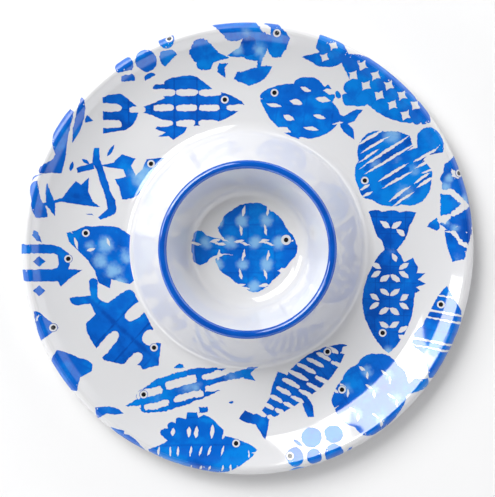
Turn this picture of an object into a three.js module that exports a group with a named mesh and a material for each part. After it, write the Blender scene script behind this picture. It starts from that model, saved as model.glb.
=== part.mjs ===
// Chip and dip server: a round melamine platter whose centre rises into a dip well, pressed in one piece.
// Two printed foils and a coloured band are let into its upper face and finish flush with it.
// Millimetres, +Z up. The origin is on the table, at the centre of the foot ring.
// Everything is a body of revolution, so each piece is a closed section turned about the Z axis.

import * as THREE from "three";

// ---- Driving dimensions ----

const PLATTER_RADIUS = 178; // axis to the outer edge of the lip
const WALL = 3.2; // thickness of the moulded shell
const TURN_STEPS = 48; // flats round the axis
const ROUND_ERROR = 0.12; // how far a flat may stray from the round stretch of a section that it stands for

// Platter: a flat floor that sweeps up to a rolled lip.
const FOOT_HEIGHT = 3; // the floor's underside stands this far above the table
const SIDE_RUN = 32; // in plan, from where the sloping side would meet the floor, if sharp, to the outer edge
const SIDE_ANGLE = 32; // the sloping side, up from level
const SWEEP_ROUND = 80; // between the floor and the side
const LIP_INNER_ROUND = 1.8; // the hollow of the rolled lip; its outside is rounder by the wall
const LIP_SKIRT = 1.8; // the lip hangs straight down this far
const LIP_EDGE_CHAMFER = 0.8;

// Raised centre: an inverted V in section, rounded over at the dip rim.
const RIM_HEIGHT = 54; // top of the dip rim above the table
const RIM_RADIUS = 65.6; // axis to the middle of the dip rim
const RIM_INNER_ROUND = 0.4; // under the rim; its outside is rounder by the wall
const OUTER_WALL_ANGLE = 62; // the raised centre's outside, up from level
const OUTER_WALL_ROUND = 14; // where it meets the platter's floor

// Dip well
const WELL_FLOOR_HEIGHT = 12; // upper face of the well's floor above the table
const WELL_WALL_ANGLE = 66;
const WELL_ROUND = 15; // where the well's wall meets its floor

// Foot ring under the platter's floor
const FOOT_GAP = 7.3; // from where the raised centre's round ends to the ring
const FOOT_WIDTH = 5;
const FOOT_DRAFT = 0.6; // the ring is wider by this much on each side where it leaves the floor

// Decoration, let into the upper face
const FOIL = 0.4; // printed foil with its clear glaze
const BAND = 0.8; // coloured band on the dip rim
const BOND_GAP = 0.05; // left between a foil or band and the shell

// ---- Values that follow ----

const radians = THREE.MathUtils.degToRad;
const wellAngle = radians(WELL_WALL_ANGLE);
const outerAngle = radians(OUTER_WALL_ANGLE);
const sideAngle = radians(SIDE_ANGLE);
const floorTop = FOOT_HEIGHT + WALL;
const rimRound = WALL + RIM_INNER_ROUND;
const lipRound = WALL + LIP_INNER_ROUND;

// The rim's two walls would meet at this sharp corner, above the round that replaces it.
const rimSpread = Math.sin(wellAngle + outerAngle);
const rimCornerRadius = RIM_RADIUS + (rimRound * (Math.cos(wellAngle) - Math.cos(outerAngle))) / rimSpread;
const rimCornerHeight =
  RIM_HEIGHT - rimRound + (rimRound * (Math.sin(wellAngle) + Math.sin(outerAngle))) / rimSpread;

// Where each wall would meet its floor, if sharp. A foil ends there, in the middle of the round.
const wellCornerRadius = rimCornerRadius - (rimCornerHeight - WELL_FLOOR_HEIGHT) / Math.tan(wellAngle);
const outerCornerRadius = rimCornerRadius + (rimCornerHeight - floorTop) / Math.tan(outerAngle);
const sweepCornerRadius = PLATTER_RADIUS - SIDE_RUN;

// The foot ring starts on the flat floor, beyond the raised centre's round.
const footInner = outerCornerRadius + OUTER_WALL_ROUND * Math.tan(outerAngle / 2) + FOOT_GAP;
const footOuter = footInner + FOOT_WIDTH + 2 * FOOT_DRAFT;

// The sweep is as round as SWEEP_ROUND, or as its walls allow between the foot ring and the lip's round.
const lipTangent = lipRound * Math.tan(radians(90 + SIDE_ANGLE) / 2);
const sweepRoom = Math.min(sweepCornerRadius - footOuter, SIDE_RUN / Math.cos(sideAngle) - lipTangent);
const sweepRound = Math.min(SWEEP_ROUND, sweepRoom / Math.tan(sideAngle / 2));

// The band covers the rim's whole round.
const bandInner = RIM_RADIUS - rimRound * Math.sin(wellAngle);
const bandOuter = RIM_RADIUS + rimRound * Math.sin(outerAngle);

// ---- Sections ----

// A section is a list of points { at, up }: a place in the (radius, height) plane and the face's unit normal.
const pointAt = (at, up) => ({ at, up });
const SAME = 1e-6; // places closer than this are one place

// Follows sharp corners { r, z, round }, replacing each corner that has a round with an arc of that radius.
function roundedSection(corners) {
  const ends = corners.map(({ r, z }) => new THREE.Vector2(r, z));
  const heading = (i) => ends[i + 1].clone().sub(ends[i]).normalize();
  const left = (v) => new THREE.Vector2(-v.y, v.x);
  const section = [pointAt(ends[0], left(heading(0)))];
  for (let i = 1; i < corners.length - 1; i++) {
    const { round } = corners[i];
    const before = heading(i - 1);
    const after = heading(i);
    const turn = Math.atan2(before.cross(after), before.dot(after));
    const tangent = round * Math.tan(Math.abs(turn) / 2);
    const start = ends[i].clone().addScaledVector(before, -tangent);
    const side = Math.sign(turn);
    const centre = start.clone().addScaledVector(left(before), side * round);
    const widestStep = 2 * Math.acos(1 - ROUND_ERROR / round);
    const steps = Math.max(2, Math.ceil(Math.abs(turn) / widestStep));
    for (let k = 0; k <= steps; k++) {
      const up = left(before).rotateAround(new THREE.Vector2(), (turn * k) / steps);
      section.push(pointAt(centre.clone().addScaledVector(up, -side * round), up));
    }
  }
  const last = corners.length - 1;
  section.push(pointAt(ends[last], left(heading(last - 1))));
  return section;
}

// The upper face, from the axis out to where the lip's skirt starts.
function upperFace() {
  const lipCornerHeight = floorTop + SIDE_RUN * Math.tan(sideAngle);
  const section = roundedSection([
    { r: 0, z: WELL_FLOOR_HEIGHT },
    { r: wellCornerRadius, z: WELL_FLOOR_HEIGHT, round: WELL_ROUND },
    { r: rimCornerRadius, z: rimCornerHeight, round: rimRound },
    { r: outerCornerRadius, z: floorTop, round: OUTER_WALL_ROUND },
    { r: sweepCornerRadius, z: floorTop, round: sweepRound },
    { r: PLATTER_RADIUS, z: lipCornerHeight, round: lipRound },
    { r: PLATTER_RADIUS, z: lipCornerHeight - lipTangent - LIP_SKIRT },
  ]);
  return section.slice(0, -1);
}

// The stretch of a section between two radii, with its ends cut exactly there.
function stretch(section, from, to) {
  const cut = (radius) => {
    const i = section.findIndex(({ at }) => at.x > radius - SAME);
    const [a, b] = [section[Math.max(i - 1, 0)], section[i]];
    const share = b.at.x > a.at.x ? (radius - a.at.x) / (b.at.x - a.at.x) : 1;
    return pointAt(a.at.clone().lerp(b.at, share), a.up.clone().lerp(b.up, share).normalize());
  };
  const inside = section.filter(({ at }) => at.x > from + SAME && at.x < to - SAME);
  return [cut(from), ...inside, cut(to)];
}

// A section moved straight into the material, and the bare places of one.
const sunk = (section, depth) =>
  section.map(({ at, up }) => pointAt(at.clone().addScaledVector(up, -depth), up));
const places = (section) => section.map(({ at }) => at);

// A thin skin that lies flush in the upper face.
const skin = (section, thickness) => [...places(section), ...places(sunk(section, thickness)).reverse()];

const face = upperFace();
const wellStretch = stretch(face, 0, wellCornerRadius);
const bandStretch = stretch(face, bandInner, bandOuter);
const platterStretch = stretch(face, outerCornerRadius, PLATTER_RADIUS);

// The shell's upper side, with a step down under each foil and the band.
function upperSide() {
  return places([
    ...sunk(wellStretch, FOIL + BOND_GAP),
    ...stretch(face, wellCornerRadius, bandInner),
    ...sunk(bandStretch, BAND + BOND_GAP),
    ...stretch(face, bandOuter, outerCornerRadius),
    ...sunk(platterStretch, FOIL + BOND_GAP),
  ]);
}

// The lip's edge: from the upper side down the skirt, and round to the underside.
function lipEdge() {
  const top = face.at(-1).at.y;
  const bottom = top - LIP_SKIRT;
  const inner = PLATTER_RADIUS - WALL;
  return [
    new THREE.Vector2(PLATTER_RADIUS, top),
    new THREE.Vector2(PLATTER_RADIUS, bottom + LIP_EDGE_CHAMFER),
    new THREE.Vector2(PLATTER_RADIUS - LIP_EDGE_CHAMFER, bottom),
    new THREE.Vector2(inner + LIP_EDGE_CHAMFER, bottom),
    new THREE.Vector2(inner, bottom + LIP_EDGE_CHAMFER),
  ];
}

// The underside, from the lip in to the axis, with the foot ring standing down from it.
function underside() {
  const under = sunk(face, WALL);
  return [
    ...places(stretch(under, footOuter, PLATTER_RADIUS - WALL)).reverse(),
    new THREE.Vector2(footOuter - FOOT_DRAFT, 0),
    new THREE.Vector2(footInner + FOOT_DRAFT, 0),
    ...places(stretch(under, 0, footInner)).reverse(),
  ];
}

// ---- Pieces ----

// Turns an outline of (radius, height) points about +Z. An outline that leaves the axis is closed first.
function turned(name, outline, material) {
  const onAxis = outline[0].x < SAME && outline.at(-1).x < SAME;
  const closed = onAxis ? outline : [...outline, outline[0]];
  const geometry = new THREE.LatheGeometry([...closed].reverse(), TURN_STEPS);
  geometry.rotateX(Math.PI / 2);
  const mesh = new THREE.Mesh(geometry, material);
  mesh.name = name;
  return mesh;
}

const melamine = new THREE.MeshStandardMaterial({ color: 0xf4f4f5, roughness: 0.15, metalness: 0 });
const printedFoil = new THREE.MeshStandardMaterial({ color: 0xe9eef8, roughness: 0.12, metalness: 0 });
const cobaltBand = new THREE.MeshStandardMaterial({ color: 0x0a55c4, roughness: 0.12, metalness: 0 });

const server = new THREE.Group();
server.add(
  turned("server_body", [...upperSide(), ...lipEdge(), ...underside()], melamine),
  turned("platter_foil", skin(platterStretch, FOIL), printedFoil),
  turned("well_foil", skin(wellStretch, FOIL), printedFoil),
  turned("rim_band", skin(bandStretch, BAND), cobaltBand),
);

export default server;
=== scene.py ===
# %% [markdown]
# # A chip and dip server in printed melamine
#
# The real server is one pressing: white melamine powder is cured in a hot steel mould, the mould opens, a
# sheet of printed paper is laid on the hot piece, and a last pressing under clear resin seals the print in.
# So the blue fish don't stand up from the surface, and one gloss runs over white and blue alike. The shell
# has the same thickness everywhere: a flat floor that sweeps up to a rolled lip, and a raised centre that
# folds up to a rim and down again into the dip well.
#
# Everything but the fish is a body of revolution, so the shell, the two printed grounds and the band are
# sections turned about the upright axis. The engineering model has the same sections in coarse flats. Here
# they are turned again from the same values, fine enough for a clean reflection. Sizes are in millimetres,
# and MM makes them metres.

# %% Tools, and the engineering model
import math

import bpy
import numpy
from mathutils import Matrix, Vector, noise
from mathutils.geometry import delaunay_2d_cdt


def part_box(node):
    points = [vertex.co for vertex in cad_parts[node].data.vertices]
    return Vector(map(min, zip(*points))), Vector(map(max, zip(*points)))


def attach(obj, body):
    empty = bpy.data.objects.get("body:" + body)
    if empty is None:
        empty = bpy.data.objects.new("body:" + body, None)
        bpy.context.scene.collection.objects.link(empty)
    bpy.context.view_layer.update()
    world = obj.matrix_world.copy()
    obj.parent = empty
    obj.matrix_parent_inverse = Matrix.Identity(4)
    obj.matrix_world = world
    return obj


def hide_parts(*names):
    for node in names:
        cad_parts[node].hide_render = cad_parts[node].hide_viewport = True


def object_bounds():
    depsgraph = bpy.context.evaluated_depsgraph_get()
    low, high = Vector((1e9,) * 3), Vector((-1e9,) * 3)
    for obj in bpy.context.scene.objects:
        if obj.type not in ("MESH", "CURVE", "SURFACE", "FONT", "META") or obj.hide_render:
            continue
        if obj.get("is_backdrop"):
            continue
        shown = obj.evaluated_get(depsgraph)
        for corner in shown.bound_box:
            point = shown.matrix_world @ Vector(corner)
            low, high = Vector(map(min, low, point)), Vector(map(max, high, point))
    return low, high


NOISE_SEED = 11
noise.seed_set(NOISE_SEED)  # without a seed, every edge of the print differs from run to run

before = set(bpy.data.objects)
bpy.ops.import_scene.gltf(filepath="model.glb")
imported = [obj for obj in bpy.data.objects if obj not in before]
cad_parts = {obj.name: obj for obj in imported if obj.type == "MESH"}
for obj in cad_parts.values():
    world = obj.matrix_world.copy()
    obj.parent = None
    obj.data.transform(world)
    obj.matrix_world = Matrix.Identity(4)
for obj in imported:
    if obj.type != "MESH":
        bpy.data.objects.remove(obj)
cad_low, cad_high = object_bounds()
print("engineering model:", [round(v, 5) for v in (*cad_low, *cad_high)])

# %% The maker's sizes
MM = 0.001
LIP_RADIUS = cad_high.x / MM
RIM_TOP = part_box("rim_band")[1].z / MM
WALL = 3.2
FOOT_HEIGHT = 3.0
SIDE_RUN = 32.0
SIDE_ANGLE = math.radians(32)
SWEEP_ROUND = 80.0
LIP_ROUND = 5.0
LIP_SKIRT = 1.8
LIP_EDGE_ROUND = 0.8
RIM_RADIUS = 65.6
RIM_ROUND = 3.6
OUTER_WALL_ANGLE = math.radians(62)
OUTER_WALL_ROUND = 14.0
WELL_FLOOR_HEIGHT = 12.0
WELL_WALL_ANGLE = math.radians(66)
WELL_ROUND = 15.0
FOOT_GAP = 7.3
FOOT_WIDTH = 5.0
FOOT_DRAFT = 0.6
FOOT_EDGE_ROUND = 0.7
FOIL = 0.4
BAND = 0.8
SEAM = 0.004  # left between the pieces here, so that no line shows where they are fused
INK_RISE = 0.06  # the white ground lies this far below the print
INK_DEPTH = 0.14  # the print reaches this far down

FLOOR_TOP = FOOT_HEIGHT + WALL

# %% [markdown]
# ## The section
#
# A mould is turned on a lathe from a drawing of straight lines and rounds, so the section is written that
# way: sharp corners, each with the radius of its round. Every point of the section keeps the direction its
# face looks in, which later gives exact shading however few flats there are.

# %% Rounds
FLAT_ERROR = 0.006  # how far a flat may stray from its round
WIDEST_STEP = math.radians(4)


def left_of(v):
    return Vector((-v.y, v.x))


def turned_by(v, angle):
    c, s = math.cos(angle), math.sin(angle)
    return Vector((v.x * c - v.y * s, v.x * s + v.y * c))


def arc(start, heading, turn, round_radius):
    """Points (place, normal) along an arc that starts at a place with a heading and turns left or right."""
    side = math.copysign(1, turn)
    centre = start + left_of(heading) * side * round_radius
    widest = min(WIDEST_STEP, 2 * math.acos(1 - FLAT_ERROR / round_radius))
    steps = max(2, math.ceil(abs(turn) / widest))
    points = []
    for k in range(steps + 1):
        up = turned_by(left_of(heading), turn * k / steps)
        points.append((centre - up * side * round_radius, up))
    return points


def rounded_section(corners):
    """Follows sharp corners (radius, height, round) and replaces each corner that has a round with an arc."""
    ends = [Vector(corner[:2]) for corner in corners]
    headings = [(b - a).normalized() for a, b in zip(ends, ends[1:])]
    section = [(ends[0], left_of(headings[0]))]
    for corner, before, after in zip(corners[1:-1], headings, headings[1:]):
        turn = math.atan2(before.x * after.y - before.y * after.x, before.dot(after))
        tangent = corner[2] * math.tan(abs(turn) / 2)
        section += arc(Vector(corner[:2]) - before * tangent, before, turn, corner[2])
    section.append((ends[-1], left_of(headings[-1])))
    return section


# %% The upper face, from the axis to the lip
rim_spread = math.sin(WELL_WALL_ANGLE + OUTER_WALL_ANGLE)
rim_aside = math.cos(WELL_WALL_ANGLE) - math.cos(OUTER_WALL_ANGLE)
rim_above = math.sin(WELL_WALL_ANGLE) + math.sin(OUTER_WALL_ANGLE)
rim_corner_radius = RIM_RADIUS + RIM_ROUND * rim_aside / rim_spread
rim_corner_height = RIM_TOP - RIM_ROUND + RIM_ROUND * rim_above / rim_spread
well_corner = rim_corner_radius - (rim_corner_height - WELL_FLOOR_HEIGHT) / math.tan(WELL_WALL_ANGLE)
outer_corner = rim_corner_radius + (rim_corner_height - FLOOR_TOP) / math.tan(OUTER_WALL_ANGLE)
sweep_corner = LIP_RADIUS - SIDE_RUN
lip_corner_height = FLOOR_TOP + SIDE_RUN * math.tan(SIDE_ANGLE)
lip_tangent = LIP_ROUND * math.tan((math.pi / 2 + SIDE_ANGLE) / 2)
skirt_top = lip_corner_height - lip_tangent
lip_crest = LIP_RADIUS - LIP_ROUND

upper_face = rounded_section(
    [
        (0, WELL_FLOOR_HEIGHT),
        (well_corner, WELL_FLOOR_HEIGHT, WELL_ROUND),
        (rim_corner_radius, rim_corner_height, RIM_ROUND),
        (outer_corner, FLOOR_TOP, OUTER_WALL_ROUND),
        (sweep_corner, FLOOR_TOP, SWEEP_ROUND),
        (LIP_RADIUS, lip_corner_height, LIP_ROUND),
        (LIP_RADIUS, skirt_top - LIP_SKIRT),
    ]
)[:-1]
print("upper face:", len(upper_face), "points")
print("well ends at", round(well_corner, 2), "and the raised centre at", round(outer_corner, 2))

# %% Stretches of the section
SAME = 1e-6


def stretch(section, start, stop):
    """The part of a section between two radii, cut exactly there."""

    def cut(radius):
        for (a, up_a), (b, up_b) in zip(section, section[1:]):
            if b.x >= radius - SAME:
                share = (radius - a.x) / (b.x - a.x) if b.x - a.x > SAME else 1.0
                return a.lerp(b, share), up_a.lerp(up_b, share).normalized()
        return section[-1]

    inside = [point for point in section if start + SAME < point[0].x < stop - SAME]
    return [cut(start), *inside, cut(stop)]


def sunk(section, depth):
    """A stretch moved straight into the material."""
    return [(place - up * depth, up) for place, up in section]


def back(section):
    """The other side of a skin: the same places in the opposite order, looking the other way."""
    return [(place, -up) for place, up in reversed(section)]


def straight(a, b):
    """A flat face from a to b, with its material on the right."""
    up = left_of((b - a).normalized())
    return [(a.copy(), up), (b.copy(), up)]


# %% [markdown]
# ## Turning
#
# Each outline is closed and runs clockwise in the half plane of the section, so its left side faces out.
# The corners between two stretches stay crisp because each side brings its own normals.

# %% The lathe
TURN_STEPS = 256


def turned(name, stretches):
    """Turns a closed outline, made of stretches that meet end to end, about the upright axis."""
    rings = {}
    points = []

    def ring(place):
        key = (round(place.x, 4), round(place.y, 4))
        if key not in rings:
            count = 1 if place.x < SAME else TURN_STEPS
            rings[key] = [len(points) + k for k in range(count)]
            for k in range(count):
                angle = math.tau * k / TURN_STEPS
                points.append((place.x * math.cos(angle) * MM, place.x * math.sin(angle) * MM, place.y * MM))
        return rings[key]

    faces = []
    normals = []
    for section in stretches:
        for (a, up_a), (b, up_b) in zip(section, section[1:]):
            ring_a, ring_b = ring(a), ring(b)
            if ring_a is ring_b:
                continue
            for k in range(TURN_STEPS):
                here = math.tau * k / TURN_STEPS
                there = math.tau * (k + 1) / TURN_STEPS
                corners = [(ring_a, k, up_a, here), (ring_b, k, up_b, here)]
                corners += [(ring_b, k + 1, up_b, there), (ring_a, k + 1, up_a, there)]
                face = []
                for of_ring, index, up, angle in corners:
                    point = of_ring[index % len(of_ring)]
                    if point not in face:
                        face.append(point)
                        normals.append((up.x * math.cos(angle), up.x * math.sin(angle), up.y))
                faces.append(face)
    mesh = bpy.data.meshes.new(name)
    mesh.from_pydata(points, [], faces)
    mesh.shade_smooth()
    mesh.normals_split_custom_set(normals)
    piece = bpy.data.objects.new(name, mesh)
    bpy.context.scene.collection.objects.link(piece)
    print(name, len(points), "vertices")
    return piece


# %% Skins let into the upper face
well_ground = stretch(upper_face, 0, well_corner)
rim_top_face = stretch(
    upper_face,
    RIM_RADIUS - RIM_ROUND * math.sin(WELL_WALL_ANGLE),
    RIM_RADIUS + RIM_ROUND * math.sin(OUTER_WALL_ANGLE),
)
platter_ground = stretch(upper_face, outer_corner, LIP_RADIUS)


def skin(section, rise, thickness):
    """The closed outline of a thin skin whose face lies `rise` below the upper face."""
    face = sunk(section, rise)
    under = back(sunk(section, thickness))
    outline = [face, straight(face[-1][0], under[0][0]), under]
    if under[-1][0].x > SAME:
        outline.append(straight(under[-1][0], face[0][0]))
    else:
        outline.append([under[-1], face[0]])
    return outline


well_print_ground = turned("well_print_ground", skin(well_ground, INK_RISE, FOIL))
dip_rim_band = turned("dip_rim_band", skin(rim_top_face, 0, BAND))
platter_print_ground = turned("platter_print_ground", skin(platter_ground, INK_RISE, FOIL))

# %% [markdown]
# ## The shell
#
# Under the skins the shell steps down. Outside them it is the upper face itself: the bare white flanks of
# the raised centre. The underside is the upper face sunk by the wall, and the foot ring stands down from
# it. Its edges are eased, as the mould's are, so that the server slides on a table.

# %% Upper side
well_seat = sunk(well_ground, FOIL + SEAM)
well_flank = stretch(upper_face, well_corner, RIM_RADIUS - RIM_ROUND * math.sin(WELL_WALL_ANGLE))
band_seat = sunk(rim_top_face, BAND + SEAM)
outer_flank = stretch(upper_face, RIM_RADIUS + RIM_ROUND * math.sin(OUTER_WALL_ANGLE), outer_corner)
platter_seat = sunk(platter_ground, FOIL + SEAM)
upper_side = [well_seat]
for following in (well_flank, band_seat, outer_flank, platter_seat):
    upper_side.append(straight(upper_side[-1][-1][0], following[0][0]))
    upper_side.append(following)

# %% Lip edge
skirt_bottom = skirt_top - LIP_SKIRT
edge_start = Vector((LIP_RADIUS, skirt_bottom + LIP_EDGE_ROUND))
edge_outer = arc(edge_start, Vector((0, -1)), -math.pi / 2, LIP_EDGE_ROUND)
edge_inner = arc(
    Vector((LIP_RADIUS - WALL + LIP_EDGE_ROUND, skirt_bottom)), Vector((-1, 0)), -math.pi / 2, LIP_EDGE_ROUND
)
lip_top_inner = platter_seat[-1][0]
lip_edge = [
    straight(lip_top_inner, Vector((LIP_RADIUS, skirt_top))),
    straight(Vector((LIP_RADIUS, skirt_top)), edge_start),
    edge_outer,
    straight(edge_outer[-1][0], edge_inner[0][0]),
    edge_inner,
]

# %% Underside and foot ring
under_face = sunk(upper_face, WALL)
foot_inner = outer_corner + OUTER_WALL_ROUND * math.tan(OUTER_WALL_ANGLE / 2) + FOOT_GAP
foot_outer = foot_inner + FOOT_WIDTH + 2 * FOOT_DRAFT
outside_foot = back(stretch(under_face, foot_outer, LIP_RADIUS - WALL))
inside_foot = back(stretch(under_face, 0, foot_inner))
foot_section = rounded_section(
    [
        (foot_outer, FOOT_HEIGHT),
        (foot_outer - FOOT_DRAFT, 0, FOOT_EDGE_ROUND),
        (foot_inner + FOOT_DRAFT, 0, FOOT_EDGE_ROUND),
        (foot_inner, FOOT_HEIGHT),
    ]
)
underside = [
    straight(edge_inner[-1][0], outside_foot[0][0]),
    outside_foot,
    foot_section,
    inside_foot,
]
moulded_shell = turned("moulded_shell", [*upper_side, *lip_edge, *underside])
print("foot ring from", round(foot_inner, 2), "to", round(foot_outer, 2))

# %% How far the engineering model's points are from the fine section
FAR_AWAY = 1e9
farthest = 0.0
face_places = [place for place, _ in upper_face]
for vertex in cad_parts["platter_foil"].data.vertices:
    spot = Vector((math.hypot(vertex.co.x, vertex.co.y) / MM, vertex.co.z / MM))
    nearest = FAR_AWAY
    for a, b in zip(face_places, face_places[1:]):
        run = b - a
        if run.length < SAME:
            continue
        share = min(1.0, max(0.0, (spot - a).dot(run) / run.length_squared))
        nearest = min(nearest, (spot - a - run * share).length)
    farthest = max(farthest, nearest)
print("farthest foil point from the fine face:", round(farthest, 3), "mm, foil thickness", FOIL)

# %% [markdown]
# ## Drawing the fish
#
# The printed fish look cut from dyed paper: plain outlines with holes snipped through them, and a round eye
# with a white ring. Each one here is drawn the same way, as closed loops with a role each. A shape is dyed,
# a cut takes dye away, a stroke is dyed twice, and the eye goes on last. A fish is drawn in millimetres
# with its head towards +x and its back towards +y, and is laid on the platter afterwards.

# %% Loops
BULGE_STEP = 1.5  # between the points of a bulging edge
OVAL_POINTS = 28
LEAF_POINTS = 8  # along each side
BODY_STEPS = 48


def signed_area(loop):
    """Positive where the loop runs anticlockwise."""
    return sum(a.x * b.y - b.x * a.y for a, b in zip(loop, loop[1:] + loop[:1])) / 2


def outline(*stops):
    """A closed loop through stops (x, y, bulge): the edge to the next stop bulges out by that much."""
    corners = [Vector(stop[:2]) for stop in stops]
    outward = -1 if signed_area(corners) > 0 else 1
    loop = []
    for stop, a, b in zip(stops, corners, corners[1:] + corners[:1]):
        bulge = stop[2] * outward if len(stop) > 2 else 0.0
        steps = max(1, int((b - a).length / BULGE_STEP)) if bulge else 1
        aside = left_of((b - a).normalized()) * bulge
        for i in range(steps):
            share = i / steps
            loop.append(a.lerp(b, share) + aside * (4 * share * (1 - share)))
    return loop


def oval(x, y, width, height, tilt=0.0, squareness=2.0):
    """An oval, or with more squareness an oblong with round corners."""
    loop = []
    for k in range(OVAL_POINTS):
        angle = math.tau * k / OVAL_POINTS
        c, s = math.cos(angle), math.sin(angle)
        px = math.copysign(abs(c) ** (2 / squareness), c) * width / 2
        py = math.copysign(abs(s) ** (2 / squareness), s) * height / 2
        loop.append(Vector((x, y)) + turned_by(Vector((px, py)), math.radians(tilt)))
    return loop


def leaf(x, y, length, width, tilt=0.0):
    """Two bows that meet in two points."""
    loop = []
    for side in (1, -1):
        for i in range(LEAF_POINTS):
            share = i / LEAF_POINTS
            along = (share - 0.5) * length * side
            across = width / 2 * 4 * share * (1 - share) * side
            loop.append(Vector((x, y)) + turned_by(Vector((along, -across)), math.radians(tilt)))
    return loop


def circle(radius, steps, x=0.0, y=0.0):
    """A round loop."""
    angles = [math.tau * k / steps for k in range(steps)]
    return [Vector((x + radius * math.cos(angle), y + radius * math.sin(angle))) for angle in angles]


# %% What is dyed
def shape(*stops):
    """A dyed shape with the outline that the stops give."""
    return "shape", outline(*stops)


def spot(*place_and_size):
    """A dyed oval."""
    return "shape", oval(*place_and_size)


def fin(*place_and_size):
    """A dyed leaf."""
    return "shape", leaf(*place_and_size)


def stroke(*place_and_size):
    """An oval dyed a second time."""
    return "stroke", oval(*place_and_size)


def body(nose_x, root_x, back_rise, belly_drop, peak, nose, taper, root, nose_y=0.0, root_y=0.0):
    """A fish's side view from its nose to the root of its tail. peak is where it's highest, from 0 to 1."""
    upper = []
    lower = []
    for i in range(BODY_STEPS + 1):
        s = i / BODY_STEPS
        if s < peak:
            swell = math.sin(math.pi / 2 * s / peak) ** nose
            rise, drop = back_rise * swell, belly_drop * swell
        else:
            swell = max(0.0, math.cos(math.pi / 2 * (s - peak) / (1 - peak))) ** taper
            rise, drop = root + (back_rise - root) * swell, root + (belly_drop - root) * swell
        x = nose_x + (root_x - nose_x) * s
        y = nose_y * (1 - s) ** 2 + root_y * s**2
        upper.append(Vector((x, y + rise)))
        lower.append(Vector((x, y - drop)))
    return "shape", upper + lower[:0:-1]


# %% What is cut out
GAP_HOLLOW = 0.08  # how far the side of a gap between discs is drawn in, as a share of its size


def cut(*stops):
    """A hole with the outline that the stops give."""
    return "cut", outline(*stops)


def slot(*place_and_size):
    """An oval or oblong hole."""
    return "cut", oval(*place_and_size)


def snip(*place_and_size):
    """A hole like a leaf, as two snips of the scissors leave it."""
    return "cut", leaf(*place_and_size)


def gap(x, y, size, tilt=0.0):
    """The four-cornered gap that is left between four round spots."""
    turns = [math.radians(tilt + 90 * k) for k in range(4)]
    corners = [turned_by(Vector((size / 2, 0)), turn) + Vector((x, y)) for turn in turns]
    return cut(*[(*corner, -size * GAP_HOLLOW) for corner in corners])


def mouth(nose_x, y, depth, gape):
    """A notch from just beyond the nose."""
    return cut((nose_x + 2, y - gape), (nose_x + 2, y + gape), (nose_x - depth, y))


# %% Places of an even pattern
def grid(x_from, x_to, x_pitch, y_from, y_to, y_pitch, stagger=0.0):
    """Places (x, y, row, column) of a pattern, with every other row moved along by part of the pitch."""
    places = []
    row = 0
    y = y_from
    while y <= y_to + SAME:
        column = 0
        x = x_from + (stagger * x_pitch if row % 2 else 0)
        while x <= x_to + SAME:
            places.append((x, y, row, column))
            column += 1
            x += x_pitch
        row += 1
        y += y_pitch
    return places


# %% [markdown]
# ## Laying a fish on the platter
#
# A loop is drawn on flat paper, but the platter curls up at its side and over its lip. Paper pressed on
# follows the face, so a place on the paper is measured from the axis along the plan as far as the lip's
# crest, and from there along the curl. The print stops just short of the lip's edge and at the foot of the
# raised centre.

# %% From the paper to the face
PRINT_MARGIN = 0.3  # left bare where the foil ends
LIP_MARGIN = 0.35
platter_from = outer_corner + PRINT_MARGIN
print_edge = lip_crest + LIP_ROUND * (math.pi / 2) - LIP_MARGIN
well_edge = well_corner - PRINT_MARGIN


def on_face(x, y):
    """(place, normal) on the upper face for a place on the flat paper."""
    radius = math.hypot(x, y)
    direction = Vector((x, y)) / radius if radius > SAME else Vector((1, 0))
    if radius > lip_crest:
        angle = min((radius - lip_crest) / LIP_ROUND, math.pi / 2)
        up = Vector((math.sin(angle), math.cos(angle)))
        centre = Vector((lip_crest, skirt_top))
        spot = centre + up * LIP_ROUND
    elif radius < well_corner:
        spot, up = well_face_at(radius)
    else:
        spot, up = platter_face_at(radius)
    place = Vector((direction.x * spot.x, direction.y * spot.x, spot.y))
    normal = Vector((direction.x * up.x, direction.y * up.x, up.y))
    return place, normal


def well_face_at(radius):
    """The exact section in the well: its flat floor and then its round."""
    tangent = WELL_ROUND * math.tan(WELL_WALL_ANGLE / 2)
    start = well_corner - tangent
    if radius <= start:
        return Vector((radius, WELL_FLOOR_HEIGHT)), Vector((0, 1))
    angle = math.asin((radius - start) / WELL_ROUND)
    up = Vector((-math.sin(angle), math.cos(angle)))
    return Vector((radius, WELL_FLOOR_HEIGHT + WELL_ROUND * (1 - math.cos(angle)))), up


def platter_face_at(radius):
    """The exact section of the platter: the centre's round, the floor, the sweep, the side and the lip."""
    inner_tangent = OUTER_WALL_ROUND * math.tan(OUTER_WALL_ANGLE / 2)
    inner_end = outer_corner + inner_tangent
    sweep_tangent = SWEEP_ROUND * math.tan(SIDE_ANGLE / 2)
    sweep_start = sweep_corner - sweep_tangent
    sweep_end = sweep_start + SWEEP_ROUND * math.sin(SIDE_ANGLE)
    lip_start = lip_crest - LIP_ROUND * math.sin(SIDE_ANGLE)
    if radius < inner_end:
        angle = math.asin((inner_end - radius) / OUTER_WALL_ROUND)
        height = FLOOR_TOP + OUTER_WALL_ROUND * (1 - math.cos(angle))
        return Vector((radius, height)), Vector((math.sin(angle), math.cos(angle)))
    if radius < sweep_start:
        return Vector((radius, FLOOR_TOP)), Vector((0, 1))
    if radius < sweep_end:
        angle = math.asin((radius - sweep_start) / SWEEP_ROUND)
        height = FLOOR_TOP + SWEEP_ROUND * (1 - math.cos(angle))
        return Vector((radius, height)), Vector((-math.sin(angle), math.cos(angle)))
    if radius < lip_start:
        height = FLOOR_TOP + (radius - sweep_corner) * math.tan(SIDE_ANGLE)
        return Vector((radius, height)), Vector((-math.sin(SIDE_ANGLE), math.cos(SIDE_ANGLE)))
    angle = math.asin(min(1.0, (radius - lip_crest) / LIP_ROUND))
    height = skirt_top + LIP_ROUND * math.cos(angle)
    return Vector((radius, height)), Vector((math.sin(angle), math.cos(angle)))


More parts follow.
